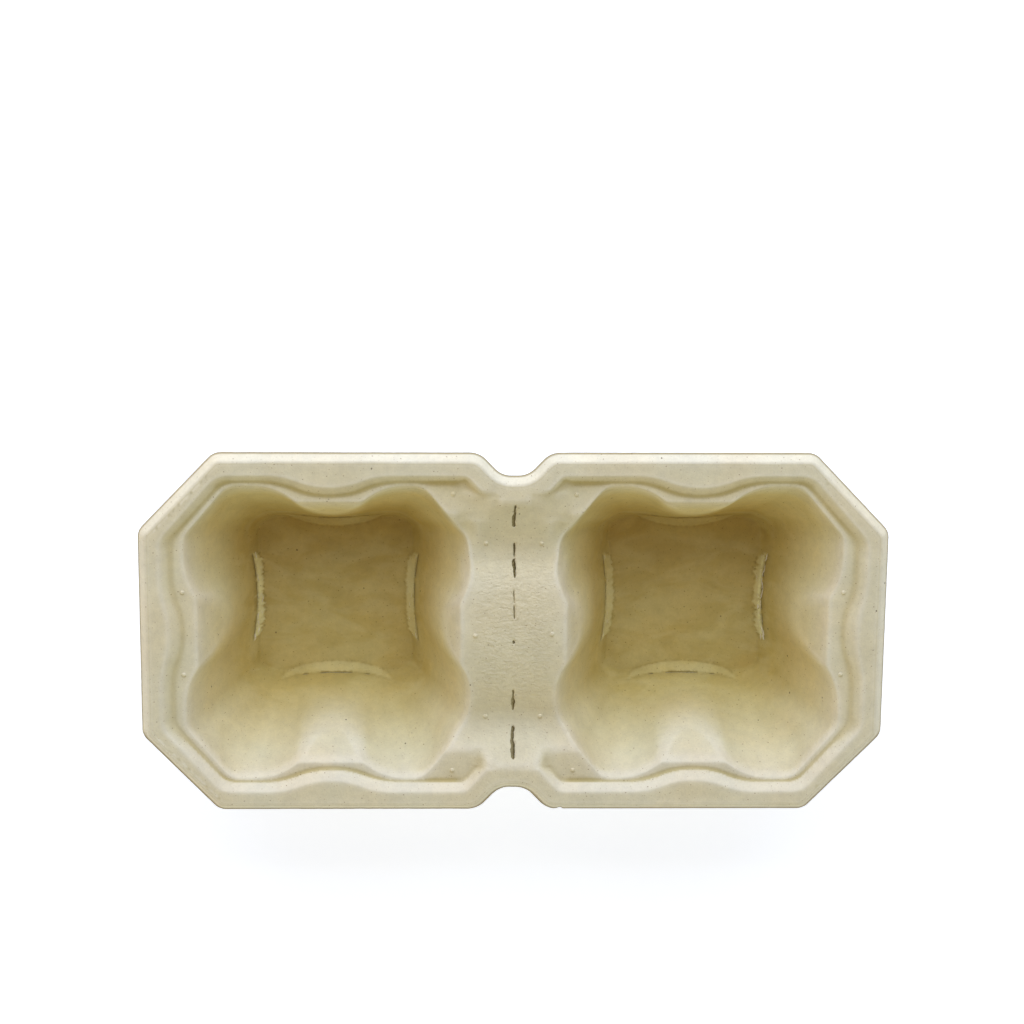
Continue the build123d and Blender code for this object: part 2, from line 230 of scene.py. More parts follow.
# ------------------------------------------------- height of the upper surface
H = 0.25
QX, QY = np.arange(0, 107.01, H), np.arange(0, 54.51, H)


def recess_wire(level):
    """Foot (0) or top (1) of the wavy slope round the +X cell."""
    if level:
        o, y, r = (45.3, 47.5, 17.0, 25.1), (43.0, 46.4, 17.5, 28.0), 7.0
        pad = [(38.4, 46.4), (44.9, 38.9)]
    else:
        o, y, r = (41.4, 44.4, 17.0, 24.8), (40.0, 43.9, 19.5, 26.8), 6.0
        pad = [(37.9, 43.9), (42.6, 38.4)]
    q = quarter(o, y, r)                       # crest at +x to crest at +y
    ry, gy = flank(y[0], y[1], y[2])
    k2 = (ry * math.sin(gy), y[0] + ry * (1 - math.cos(gy)))
    s = arc_pts((0, y[0]), k2, (0, y[0] + ry)) + arc_pts(k2, (y[2], y[1]), (y[2], y[1] - ry))
    p = [(y[2], y[1]), (pad[0][0], y[1]), (pad[1][0], pad[1][1]), (pad[1][0], 24.0),
         (30.0, 24.0), (30.0, 20.0)]
    e = [p[0]]
    for k in (1, 2):
        c = np.array(p[k])
        u, v = np.array(p[k - 1]) - c, np.array(p[k + 1]) - c
        u, v = u / np.linalg.norm(u), v / np.linalg.norm(v)
        half = math.acos(float(u @ v)) / 2
        t = 3.0 / math.tan(half)
        cen = c + (u + v) / np.linalg.norm(u + v) * 3.0 / math.sin(half)
        e += arc_pts(c + u * t, c + v * t, cen, 7) + [tuple(c + v * t)]
    e += [p[3], p[4]]
    far = np.vstack([q, np.c_[[-a[0] for a in s + e], [a[1] for a in s + e]]])
    far[:, 0] += CELL_X
    near = far[::-1].copy()
    near[:, 1] *= -1
    return np.vstack([far, near[:-1]])


def quadrant():
    X, Y = np.meshgrid(QX, QY, indexing="ij")
    x, y = X.ravel(), Y.ravel()

    # rim: skirt, round and band
    rim, _ = outline(0.9)
    near = (rim[:, 0] > -14) & (rim[:, 1] > -14)
    start = np.flatnonzero(near & ~np.roll(near, 1))[0]
    run = np.roll(np.flatnonzero(near), -np.searchsorted(np.flatnonzero(near), start))
    sgn = np.where(inside(x, y, rim), 1, -1)
    d = sgn * distance(x, y, rim[run], closed=False)
    skirt = Z_LIP + LIP_H + d * (Z_BAND - Z_LIP - LIP_H) / SKIRT_IN
    cap = smin(skirt, np.full_like(x, Z_BAND), 0.9)

    # wavy slope down to the shelf
    foot, top = recess_wire(0), recess_wire(1)
    df, dt = signed(x, y, foot), signed(x, y, top)
    s = np.where(df > 0, -df / 3.2, np.where(dt > 0, -df / np.maximum(dt - df, 0.05), 1 - dt / 3.2))
    slope = Z_SHELF + (Z_BAND - Z_SHELF) * s
    recess = smax(slope, np.full_like(x, Z_SHELF), 0.25)
    g = smin(cap, recess, 0.25)

    # bridge
    dome_r = (VALLEY_Y ** 2 + (DOME_TOP - VALLEY_Z) ** 2) / (2 * (DOME_TOP - VALLEY_Z))
    dome = DOME_TOP - dome_r + np.sqrt(np.maximum(dome_r ** 2 - y ** 2, 0))
    bridge = smax(dome, Z_BAND - (BRIDGE_Y - y) * 0.61, 4.6)
    bridge = np.where(x < 30, bridge, 99.0)
    g = smin(g, bridge, 0.7)

    # pocket: invert the family of sections in polar form round one centre
    zs = [Z_FLOOR, Z_FLOOR + 0.5, Z_FLOOR + 1.0, Z_LEDGE] + list(np.arange(4.4, 47, 2.0))
    th, r = np.arctan2(y, x - 51.4), np.hypot(x - 51.4, y)
    table = []
    for z in zs:
        if z <= Z_LEDGE:
            sec = mix(FLOOR, LEDGE, (z - Z_FLOOR) / (Z_LEDGE - Z_FLOOR))
        else:
            t = (z - Z_LEDGE) / (Z_SHELF - Z_LEDGE)
            sec = mix(LEDGE, MOUTH, t)
            sec["r"] = min(sec["r"] + 6.5 * max(0.0, 4 * t * (1 - t)) ** 0.5, 4.1 + 8.7 * t)
        p = half_section(sec)
        t, rr = np.arctan2(p[:, 1], p[:, 0] - 51.4), np.hypot(p[:, 0] - 51.4, p[:, 1])
        order = np.argsort(t)
        table.append(np.interp(th, t[order], rr[order]))
    R = np.array(table)
    wall = Z_FLOOR + (r - R[0]) * (zs[1] - zs[0]) / np.maximum(R[1] - R[0], 0.05)
    for j in range(len(zs) - 1):
        m = r >= R[j]
        wall[m] = (zs[j] + (r - R[j]) / np.maximum(R[j + 1] - R[j], 1e-3) * (zs[j + 1] - zs[j]))[m]
    dx, dy = x - CELL_X, np.abs(y)
    wide = np.abs(dx) < 13
    tall = dy < 13
    fy = np.where(wide, Z_SHELF - (EDGE_Y - dy) / FACET_SLOPE, 99.0)
    fo = np.where(tall & (dx > 0), Z_SHELF - (EDGE_OUT - dx) / FACET_SLOPE, 99.0)
    fi = np.where(tall & (dx < 0), Z_SHELF - (EDGE_IN + dx) / FACET_SLOPE, 99.0)
    wall = smin(wall, fy, 1.1)
    wall = smin(wall, np.minimum(fo, fi), 1.1)
    pocket = smax(wall, np.full_like(x, Z_FLOOR), 0.7)
    g = smin(g, pocket, 1.0)
    return g.reshape(X.shape)


q = quadrant()
G = np.concatenate([q[:, :0:-1], q], 1)            # mirror in y
G = np.concatenate([G[:0:-1], G], 0)               # mirror in x
GX = np.concatenate([-QX[:0:-1], QX])
GY = np.concatenate([-QY[:0:-1], QY])
G = blur(G, 0.16, H)


def ease(t):
    t = np.clip(t, 0, 1)
    return t * t * (3 - 2 * t)


def sample(grid, x, y):
    fx = np.clip((x - GX[0]) / H, 0, len(GX) - 1.001)
    fy = np.clip((y - GY[0]) / H, 0, len(GY) - 1.001)
    i, j = fx.astype(int), fy.astype(int)
    a, b = fx - i, fy - j
    return ((grid[i, j] * (1 - a) + grid[i + 1, j] * a) * (1 - b)
            + (grid[i, j + 1] * (1 - a) + grid[i + 1, j + 1] * a) * b)


MX, MY = np.meshgrid(GX, GY, indexing="ij")
# the bridge's +Y valley lies a little nearer its middle, with its mouth corners further out
drift = (3.2 * ease((38.5 - MY) / 14.0) * ease((MY - 12.0) / 9.0) * ease((14.0 - np.abs(MX)) / 4.5)
         - 2.8 * np.exp(-((MY - 21.0) / 6.0) ** 2) * ease((np.abs(MX) - 11.5) / 3.5)
         * ease((27.0 - np.abs(MX)) / 8.0))
G = sample(G, MX, MY + drift)
# the pads run out softly into the bridge, on the +Y side most of all
AX = np.abs(MX)
fade = ease((MY - 32.0) / 2.5) * ease((42.6 - MY) / 2.2) * ease((AX - 3.5) / 2.0) * ease((17.0 - AX) / 3.5)
G = G + (blur(G, 2.2, H) - G) * fade
fade = ease((-MY - 33.5) / 1.5) * ease((40.0 + MY) / 1.2) * ease((AX - 4.0) / 1.5) * ease((12.5 - AX) / 2.5)
G = G + (blur(G, 0.9, H) - G) * fade


def field(sigma, shape=G.shape):
    f = blur(RNG.normal(size=shape), sigma, H)
    return f / f.std()


# the sheet is never quite true: slow warps and shallow dents of pressed pulp
LOW = 0.045 * field(9.0) + 0.030 * field(3.2) + 0.012 * field(1.3)
G = G + np.clip(LOW, -0.16, 0.16) - 0.06


def lower_offset(g, t):
    """Underside of a sheet of thickness t: a ball rolled under the surface."""
    n = int(t / H)
    pad = np.pad(g, n, mode="edge")
    out = np.full_like(g, 1e9)
    for i in range(-n, n + 1):
        for j in range(-n, n + 1):
            rr = t * t - (i * i + j * j) * H * H
            if rr >= 0:
                out = np.minimum(out, pad[n + i:n + i + g.shape[0], n + j:n + j + g.shape[1]]
                                 - math.sqrt(rr))
    return out


GB = lower_offset(G, SHEET - 0.03)
GB = np.maximum(GB, 0.0)


# ------------------------------------------------------------------- the slits
def ribbon(line, width, rough, lean):
    """Closed loops round an open polyline, pointed at its ends, with ragged edges:
    one for the upper surface, and a narrower one for the underside, shifted by lean."""
    line = np.array(line, float)
    t = np.gradient(line, axis=0)
    t /= np.linalg.norm(t, axis=1)[:, None]
    nor = np.c_[-t[:, 1], t[:, 0]]
    n = len(line)
    w = width / 2 * np.clip(np.sin(np.pi * np.linspace(0, 1, n)) * 5.0, 0.5, 1)
    out = []
    for k, off in ((1.0, np.zeros(2)), (0.5, np.array(lean))):
        a, b = (np.convolve(RNG.normal(0, rough, n + 2), (0.6, 0.8, 0.6), "valid") for _ in range(2))
        a, b = np.clip(a, -0.45 * w, 0.7 * w), np.clip(b, -0.45 * w, 0.7 * w)
        l, r = line + nor * (k * (w + a))[:, None], line - nor * (k * (w + b))[:, None]
        e0, e1 = line[0] - t[0] * width * 0.16, line[-1] + t[-1] * width * 0.16
        out.append(np.vstack([[e0], l, [e1], r[::-1]]) + off)
    return out


def straight(y0, y1, x=0.0, wob=0.05):
    n = max(5, int(abs(y1 - y0) / 0.45))
    y = np.linspace(y0, y1, n)
    return np.c_[x + np.cumsum(RNG.normal(0, wob, n)) * 0.4, y]


SLITS, UNDER = [], []
# ends in y, width, and how pale the torn walls are, that is how much the painted shade in the slit is lifted
CUTS = ((37.9, 31.0, 0.80, 0.25), (25.7, 21.6, 0.50, 0.2), (21.0, 16.2, 0.82, 0.0),
        (12.6, 9.2, 0.24, 0.7), (8.3, 4.6, 0.36, 0.6), (-1.7, -2.6, 0.50, 0.2),
        (-17.0, -23.6, 0.84, 0.5), (-28.6, -36.9, 0.88, 0.2))
for y0, y1, w, _ in CUTS:
    top, low = ribbon(straight(y0, y1, wob=0.13), w, 0.15 * w, (0.90 * w + 0.10, 0.0))
    SLITS.append(top)
    UNDER.append(low)

SLIT_R = 71.8


def foot_line(cx, cy, ang, s0, s1):
    n = max(4, int((s1 - s0) / 0.45))
    s = np.linspace(s0, s1, n) / SLIT_R
    x, y = SLIT_R * (1 - np.cos(s)), SLIT_R * np.sin(s)
    c, k = math.cos(ang), math.sin(ang)
    return np.c_[cx + x * c - y * k, cy + x * k + y * c]


def arc_frame(px, py, ang, x, y):
    """Distance outside a foot slit's arc, and the place along it."""
    c, k = math.cos(ang), math.sin(ang)
    u, v = (x - px) * c + (y - py) * k, -(x - px) * k + (y - py) * c
    return u - (SLIT_R - np.sqrt(np.maximum(SLIT_R ** 2 - v * v, 1))), v


# centre of the arc, its direction, then half length, width and raggedness of its ledge
LEDGES = []
for side in (1, -1):
    cx = FLOOR_X * side
    for ang, px, py, parts in (
            (0.0, cx + 23.05, 0.0, ((-13.3, -5.4), (-4.1, 4.2), (5.7, 13.2))),
            (math.pi, cx - 23.05, 0.0, ((-13.2, -5.6), (-4.2, 4.2), (5.5, 13.3))),
            (math.pi / 2, cx, 23.75, ((-9.8, -8.3), (-4.6, 4.7), (8.3, 9.9))),
            (-math.pi / 2, cx, -23.75, ((-9.9, -8.4), (-4.7, 4.6), (8.4, 9.8)))):
        on_x = abs(math.cos(ang)) > 0.5
        outer = on_x and math.cos(ang) * side > 0
        LEDGES.append((px, py, ang, 13.6 if on_x else (14.8 if py > 0 else 16.6), (2.2 if outer else 2.6) if on_x else 3.0,
                       1.0 if outer else (0.45 if on_x else 0.25), on_x, outer,
                       RNG.normal(size=64), RNG.normal(size=64)))
        for s0, s1 in parts:
            lean = (0.36 * math.cos(ang) if on_x else 0.0, 0.0 if on_x else 0.30)
            top, low = ribbon(foot_line(px, py, ang, s0, s1), 0.11 if on_x else 0.13, 0.02, lean)
            SLITS.append(top)
            UNDER.append(low)


def ledges(x, y):
    """Height, paleness and brown outline of the ledges inside the foot slits."""
    z, pale, brown = np.zeros_like(x), np.zeros_like(x), np.zeros_like(x)
    for px, py, ang, half, width, torn, on_x, outer, n1, n2 in LEDGES:
        near = (x - px) ** 2 + (y - py) ** 2 < (half + 3) ** 2
        d, v = arc_frame(px, py, ang, x[near], y[near])
        k = np.linspace(-half - 2, half + 2, 64)
        j1 = np.interp(v, k, n1) * (0.10 + 0.22 * torn)
        j2 = np.interp(v, k, n2) * (0.02 + 0.10 * torn)
        thin = 0.45 + 0.55 * ease((half - np.abs(v)) / 3.2)
        w = (width * thin + j1 if on_x
             else width * np.sqrt(np.clip(1 - (v / half) ** 2, 0, 1)) + 0.5 * j1)
        ends = ease((half - np.abs(v)) / 1.0)
        m = ends * ease((d + w + 0.12) / 0.5) * ease((-d - 0.16 + j2) / 0.22)
        rise = 0.18 + 0.32 * torn * (1 + 0.5 * np.interp(v * 1.7 % 20, k, n2))
        z[near] += m * np.clip(rise, 0.08, 0.62)
        # paleness: partly the torn pulp's own colour, partly painted light on strips that face up
        torn_core = np.clip(0.8 + 0.5 * np.interp(v, k, np.roll(n1, 7)), 0, 1) * np.exp(-((d + 0.75) / 0.34) ** 2)
        tone = 0.80 if px < 0 else 0.42
        pale[near] = np.maximum(pale[near], m * (tone + (1 - tone) * torn_core if outer
                                                 else 0.42 if on_x else 0.19))
        rim_in, rim_out = np.exp(-((d + w + 0.22) / 0.26) ** 2), np.exp(-((d + 0.10) / 0.24) ** 2)
        broken = np.clip(0.45 + 0.55 * np.interp(v, k, np.roll(n2, 9)), 0, 1)
        edge = (0.20 + 0.40 * torn) * rim_in * broken + (0.16 + 0.18 * torn) * rim_out
        brown[near] = np.maximum(brown[near], np.clip(ends * edge, 0, 1))
    return z, pale, brown


# ----------------------------------------------------- small raised mould pips
PIPS = [(sx * a, sy * b) for sx in (1, -1) for sy in (1, -1)
        for a, b in ((7.8, 25.6), (17.2, 40.7), (92.9, 12.1))] + [(10.8, 0.2), (-10.8, -0.2)]
PIP_R, PIP_H = 0.74, 0.50


def pips(x, y):
    z = np.zeros_like(x)
    for px, py in PIPS:
        r2 = ((x - px) ** 2 + (y - py) ** 2) / PIP_R ** 2
        z += PIP_H * np.maximum(1 - r2, 0) ** 0.8
    return z


# shallow scratches and creases: ends, width, height
MARKS = [(-96.3, 20.6, -95.2, 16.6, 0.30, 0.10), (-95.4, 15.2, -94.6, 13.9, 0.22, 0.08),
         (4.6, -34.5, 6.9, -36.3, 0.22, -0.10), (-3.6, -33.2, -1.2, -35.4, 0.20, -0.08),
         (9.4, 12.9, 12.6, 15.0, 0.20, 0.08), (88.6, -20.2, 90.1, -23.0, 0.22, 0.08),
         (0.1, -4.0, -0.1, -15.5, 0.24, -0.07), (0.0, 15.6, 0.1, 3.6, 0.30, -0.06),
         (0.0, 43.5, 0.0, 38.4, 0.26, -0.10), (-0.1, -24.0, 0.1, -28.4, 0.24, -0.08)]


def marks(x, y):
    z = np.zeros_like(x)
    for x0, y0, x1, y1, w, h in MARKS:
        dx, dy = x1 - x0, y1 - y0
        t = np.clip(((x - x0) * dx + (y - y0) * dy) / (dx * dx + dy * dy), 0, 1)
        r2 = (x - x0 - t * dx) ** 2 + (y - y0 - t * dy) ** 2
        z += h * np.exp(-r2 / (w * w)) * np.sin(np.pi * np.clip(t * 0.9 + 0.05, 0, 1)) ** 0.5
    for y0, y1, w, _ in CUTS:                # burrs along the tear line's cuts
        on = ease((y0 + 0.3 - y) / 0.6) * ease((y - y1 + 0.3) / 0.6)
        z += (0.06 + 0.10 * w) * on * np.exp(-((np.abs(x) - w / 2 - 0.14) / 0.22) ** 2)
    return z


# ------------------------------------------------------------ points to mesh by
rimP, rimN = outline(1.0)
INNER = 3.0
loopP = rimP + rimN * INNER


def lattice(s, jitter):
    nx, ny = int(LEN / s) + 2, int(WID / (s * 0.8660254)) + 2
    i, j = np.meshgrid(np.arange(nx), np.arange(ny), indexing="ij")
    x = -LEN / 2 + (i + 0.5 * (j % 2)) * s
    y = -WID / 2 + j * s * 0.8660254
    x, y = x.ravel(), y.ravel()
    return (x + RNG.uniform(-jitter, jitter, x.shape) * s,
            y + RNG.uniform(-jitter, jitter, y.shape) * s)


def cell(x, y):
    i = np.clip(np.round((x - GX[0]) / H).astype(int), 0, len(GX) - 1)
    j = np.clip(np.round((y - GY[0]) / H).astype(int), 0, len(GY) - 1)
    return i, j


def grow(mask, r_mm):
    n = int(round(r_mm / H))
    out = mask.copy()
    for i in range(-n, n + 1):
        for j in range(-n, n + 1):
            if i * i + j * j <= n * n:
                out |= np.roll(np.roll(mask, i, 0), j, 1)
    return out


def scatter(classes):
    """Points at each class's spacing, finest first, never too near a finer one."""
    taken = np.zeros(G.shape, bool)
    pts = []
    for mask, s in classes:
        x, y = lattice(s, 0.10)
        i, j = cell(x, y)
        ok = mask[i, j]
        x, y, i, j = x[ok], y[ok], i[ok], j[ok]
        if pts:
            near = grow(taken, s * 0.62)
            ok = ~near[i, j]
            x, y, i, j = x[ok], y[ok], i[ok], j[ok]
        taken[i, j] = True
        pts.append(np.c_[x, y])
    p = np.vstack(pts)
    ok = inside(p[:, 0], p[:, 1], rimP + rimN * (INNER + 0.35))
    return p[ok]


smooth = blur(G, 1.0, H)
gx, gy = np.gradient(blur(G, 0.5, H), H)
SLOPE = np.hypot(gx, gy)
CREASE = grow(np.abs(G - smooth) > 0.055, 0.25)
SHARP = np.abs(G - blur(G, 0.5, H)) > 0.030


def zone(loops):
    m = np.zeros(G.shape, bool)
    for loop in loops:
        b = np.roll(loop, -1, 0)
        for t in (0, 0.33, 0.67):
            i, j = cell(loop[:, 0] + (b[:, 0] - loop[:, 0]) * t, loop[:, 1] + (b[:, 1] - loop[:, 1]) * t)
            m[i, j] = True
    return m


WALL = SLOPE > 0.8
STRIP = grow((ledges(MX.ravel(), MY.ravel())[1] > 0.02).reshape(G.shape), 0.5)
MARKED = np.abs(marks(MX, MY)) > 0.01


def triangulate(classes, loops, extra):
    p = scatter(classes)
    loops = [loopP] + loops
    verts, edges, owner = [], [], []
    for k, lp in enumerate(loops):
        a = sum(len(v) for v in verts)
        n = len(lp)
        edges += [(a + i, a + (i + 1) % n) for i in range(n)]
        verts.append(lp)
        owner += [k] * n
    for lp in loops[1:]:
        lo, hi = lp.min(0), lp.max(0)
        box = np.flatnonzero(((p > lo) & (p < hi)).all(1))
        p = np.delete(p, box[inside(p[box, 0], p[box, 1], lp)], 0)
    if len(extra):
        far = np.ones(len(p), bool)
        for ex, ey in PIPS:
            far &= (p[:, 0] - ex) ** 2 + (p[:, 1] - ey) ** 2 > (PIP_R + 0.45) ** 2
        p = p[far]
        verts += [extra]
        owner += [-1] * len(extra)
    verts.append(p)
    owner = np.array(owner + [-1] * len(p))
    v = np.vstack(verts)
    out = delaunay_2d_cdt([Vector((float(a), float(b))) for a, b in v], edges, [], 0, 1e-7, False)
    co = np.array([(c[0], c[1]) for c in out[0]])
    if len(co) != len(v) or np.abs(co - v).max() > 1e-4:
        raise RuntimeError("the triangulation moved or joined points")
    f = np.array(out[2])
    a, b, c = v[f[:, 0]], v[f[:, 1]], v[f[:, 2]]
    area = (b[:, 0] - a[:, 0]) * (c[:, 1] - a[:, 1]) - (b[:, 1] - a[:, 1]) * (c[:, 0] - a[:, 0])
    f = np.where((area < 0)[:, None], f[:, ::-1], f)
    o = owner[f]
    drop = np.zeros(len(f), bool)
    cen = (a + b + c) / 3
    for k, lp in enumerate(loops):
        same = np.flatnonzero((o == k).all(1))
        if len(same):
            isin = inside(cen[same, 0], cen[same, 1], lp)
            drop[same] = ~isin if k == 0 else isin
    return v, f[~drop]


ring = []
for px, py in PIPS:
    ring.append((px, py))
    for r, n in ((0.26, 6), (0.5, 10), (0.66, 12), (0.74, 12), (0.95, 12)):
        for k in range(n):
            t = 2 * math.pi * (k + 0.5 * (n % 4 == 0)) / n
            ring.append((px + r * math.cos(t), py + r * math.sin(t)))
ring = np.array(ring)

z0 = zone(SLITS)
free = ~grow(z0, 0.25)
topV, topF = triangulate(
    [((STRIP | MARKED) & free, 0.40), (SHARP & free, 0.42), ((CREASE | grow(z0, 1.0)) & free, 0.58),
     (WALL & free, 0.82), (free, 1.2)], SLITS, ring)
z0 = zone(UNDER)
free = ~grow(z0, 0.25)
botV, botF = triangulate(
    [(grow(z0, 1.2) & free, 0.8), ((CREASE | WALL) & free, 1.25), (free, 2.0)], UNDER,
    np.zeros((0, 2)))

lift, PALE, BROWN = ledges(topV[:, 0], topV[:, 1])
topZ = (sample(G, topV[:, 0], topV[:, 1]) + pips(topV[:, 0], topV[:, 1]) + lift
        + marks(topV[:, 0], topV[:, 1]))
botZ = sample(GB, botV[:, 0], botV[:, 1])

# skirt strip: from the band, over the round, down the skirt, round the cut edge
# and back up inside to the underside
a = math.atan2(Z_BAND - Z_LIP - LIP_H, SKIRT_IN)
T = BAND_R * math.tan(a / 2)
prof = []
for t in np.linspace(0, a, 7):
    prof.append((SKIRT_IN + T - BAND_R * math.sin(t), Z_BAND - BAND_R + BAND_R * math.cos(t)))
prof += [(1.25, 42.25), (0.85, 41.69), (0.48, 41.17), (0.16, 40.72), (0.03, 40.50), (0.0, 40.38),
         (0.0, 40.02), (0.06, 39.92), (0.16, 39.90), (0.62, 39.90), (0.74, 39.97), (0.86, 40.10),
         (1.35, 40.80), (1.90, 41.60), (2.30, 42.20), (2.62, 42.40)]
prof = np.array(prof)
NL = len(loopP)
arc_len = np.r_[0, np.cumsum(np.linalg.norm(np.diff(rimP, axis=0), axis=1))]
nick = np.exp(-((rimP[:, 0] - 13.3) / 0.45) ** 2) * (rimP[:, 1] < -49)
rag = np.convolve(np.r_[RNG.normal(size=NL)], np.ones(3) / 3, "same")
rows = []
for k, (d, z) in enumerate(prof):
    outer = np.clip((2.2 - d) / 2.2, 0, 1)
    dd = d + outer * (0.035 * np.abs(rag) + 1.0 * nick)
    if d < 0.2:
        dd = dd + np.abs(RNG.normal(0, 0.012, NL))
    p = rimP + rimN * dd[:, None]
    zz = np.full(NL, z) - 0.06 * (z > 41.0) * (k < 12)
    zz += (np.minimum(topZ[:NL], Z_BAND) - Z_BAND + 0.06) * max(0.0, 1 - k / 8)
    rows.append(np.c_[p, zz + (0.03 * rag * (1 if 39.95 < z < 40.6 else 0))])
strip = np.vstack(rows)
NR = len(rows)

# ------------------------------------------------------------- put it together
nt, nb = len(topV), len(botV)
V = [np.c_[topV, topZ], np.c_[botV, botZ], strip]
base_strip = nt + nb
F = [topF, botF[:, ::-1] + nt]


def quads(a, b, flip=False):
    """Two rings of indices joined by quads split in triangles."""
    a2, b2 = np.roll(a, -1), np.roll(b, -1)
    f = np.vstack([np.c_[a, b, b2], np.c_[a, b2, a2]])
    return f[:, ::-1] if flip else f


idx = np.arange(NL)
chain = [idx] + [base_strip + r * NL + idx for r in range(NR)] + [nt + idx]
ccw = np.sum(loopP[:, 0] * np.roll(loopP, -1, 0)[:, 1] - np.roll(loopP, -1, 0)[:, 0] * loopP[:, 1]) > 0
for p, n in zip(chain[:-1], chain[1:]):
    F.append(quads(p, n, flip=not ccw))
PLAIN = sum(len(f) for f in F)             # faces before the walls of the slits
start, startb = NL, nt + NL
total = nt + nb + len(strip)
for lp, lo in zip(SLITS, UNDER):
    n = len(lp)
    ids, idb = start + np.arange(n), startb + np.arange(n)
    mid = (lp + lo) / 2 + RNG.normal(0, 0.02, lp.shape)
    V.append(np.c_[mid, (topZ[ids] + botZ[idb - nt]) / 2])
    m = total + np.arange(n)
    total += n
    turn = np.sum(lp[:, 0] * np.roll(lp, -1, 0)[:, 1] - np.roll(lp, -1, 0)[:, 0] * lp[:, 1]) > 0
    F.append(quads(ids, m, flip=turn))
    F.append(quads(m, idb, flip=turn))
    start += n
    startb += n
V, F = np.vstack(V), np.vstack(F)
V[:, 2] = np.clip(V[:, 2], 0.0, Z_BAND)
V[:, 0] = np.clip(V[:, 0], -LEN / 2, LEN / 2)
V[:, 1] = np.clip(V[:, 1], -WID / 2, WID / 2)
print("carrier mesh", len(V), "points", len(F), "triangles; top", len(topF), "under", len(botF))


def make_mesh(name, verts, faces, smooth_angle=None):
    me = bpy.data.meshes.new(name)
    me.from_pydata((verts * 0.001).tolist(), [], faces.tolist())
    me.update()
    me.polygons.foreach_set("use_smooth", np.ones(len(faces), bool))
    if smooth_angle:
        me.set_sharp_from_angle(angle=math.radians(smooth_angle))
    ob = bpy.data.objects.new(name, me)
    bpy.context.scene.collection.objects.link(ob)
    return ob


carrier = make_mesh("carrier_pulp", V, F, 52)

# the smooth surface's own normals, where nothing small stands on it or cuts it
first = NL + sum(len(lp) for lp in SLITS)
tx, ty = topV[:, 0], topV[:, 1]
e = 0.11
nrm = np.zeros((len(V), 3))
face = np.c_[sample(G, tx - e, ty) - sample(G, tx + e, ty),
             sample(G, tx, ty - e) - sample(G, tx, ty + e), np.full(nt, 2 * e)]
face /= np.linalg.norm(face, axis=1)[:, None]
nrm[:nt] = face
nrm[:first] = 0
plain = (lift < 0.003) & (pips(tx, ty) < 0.003) & (np.abs(marks(tx, ty)) < 0.003)
nrm[:nt][~plain] = 0
carrier.data.normals_split_custom_set_from_vertices(nrm.tolist())

# what each point is: upper side, underside, pale foot ledge, cut edge with painted shade along the -Y skirt, and
# painted highlight on ridges and painted shade in creases
RISE = np.clip((G - blur(G, 0.65, H)) / 0.070, -1, 1)
HOLLOW = np.clip((G - blur(G, 2.2, H)) / 0.42, -1, 1)
n_all = len(V)
inner, under, ledge, cut = (np.zeros(n_all) for _ in range(4))
ridge_light_crease_shade = np.zeros(n_all)
inner[:nt] = 1
under[nt:nt + nb] = 1
ledge[:nt] = PALE
ridge_light_crease_shade[:nt] = 0.76 * sample(RISE, topV[:, 0], topV[:, 1]) + 0.24 * sample(HOLLOW, topV[:, 0], topV[:, 1])
cut[:nt] = BROWN
# the painted shade in creases is weakened on the bridge, below the rim and within about 30 mm of y = 0
soft = ease((17.0 - np.abs(tx)) / 3.0) * ease((46.0 - np.abs(ty)) / 3.0) * (0.7 + 0.3 * ease((35.0 - np.abs(ty)) / 2.0))
soft = (1 - 0.85 * soft) * (0.22 + 0.78 * ease((topZ - 37.5) / 2.2)) * (0.5 + 0.5 * ease((np.abs(ty) - 27.0) / 7.0))
ridge_light_crease_shade[:nt] = np.where(ridge_light_crease_shade[:nt] < 0, ridge_light_crease_shade[:nt] * soft, ridge_light_crease_shade[:nt])
# painted shade in the underside's creases, under the upper side's ridges
ridge_light_crease_shade[nt:nt + nb] = -0.6 * sample(RISE, botV[:, 0], botV[:, 1])
# painted highlight: the slope's face on the -Y side is painted paler
step = (ease((topZ - 40.9) / 0.4) * ease((43.25 - topZ) / 0.4) * (sample(SLOPE, tx, ty) > 0.4)
        * ease((-ty - 30.0) / 6.0) * ease((np.abs(tx) - 9.0) / 4.0))
ridge_light_crease_shade[:nt] += (1.1 - ridge_light_crease_shade[:nt]) * step
# painted shade: the pockets' walls are browner half way down, most where they face -Y, and their floors at the +Y end
wall = np.zeros(n_all)
steep = np.hypot(face[:, 0], face[:, 1])
wall[:nt] = (ease((steep - 0.5) / 0.3) * np.clip(0.6 - 0.8 * face[:, 1], 0.05, 1.2)
             * ease((topZ - 4.0) / 6.0) * ease((39.0 - topZ) / 11.0))
wall[:nt] = np.maximum(wall[:nt], 0.9 * ease((ty - 13.0) / 8.0) * ease((9.0 - topZ) / 5.0) * (1 - PALE))
# painted shade: the skirt is browner towards its cut edge along the -Y side; its round gets a painted highlight all
# round, more along the -Y side
front = ease(rimN[:, 1] / 0.6)
for k, (d, z) in enumerate(prof):
    rows_k = slice(base_strip + k * NL, base_strip + (k + 1) * NL)
    inner[rows_k] = 1 if k < 12 else 0
    under[rows_k] = 0 if k < 15 else 1
    cut[rows_k] = {10: 0.7, 11: 1, 12: 1, 13: 1, 14: 1, 15: 1, 16: 1, 17: 0.5}.get(k, 0)
    cut[rows_k] = np.maximum(cut[rows_k], {8: 0.4, 9: 0.95, 10: 1}.get(k, 0) * front)
    ridge_light_crease_shade[rows_k] = 1.0 + 0.4 * front if 1 <= k <= 9 else 0
cut[nt + nb + len(strip):] = 1
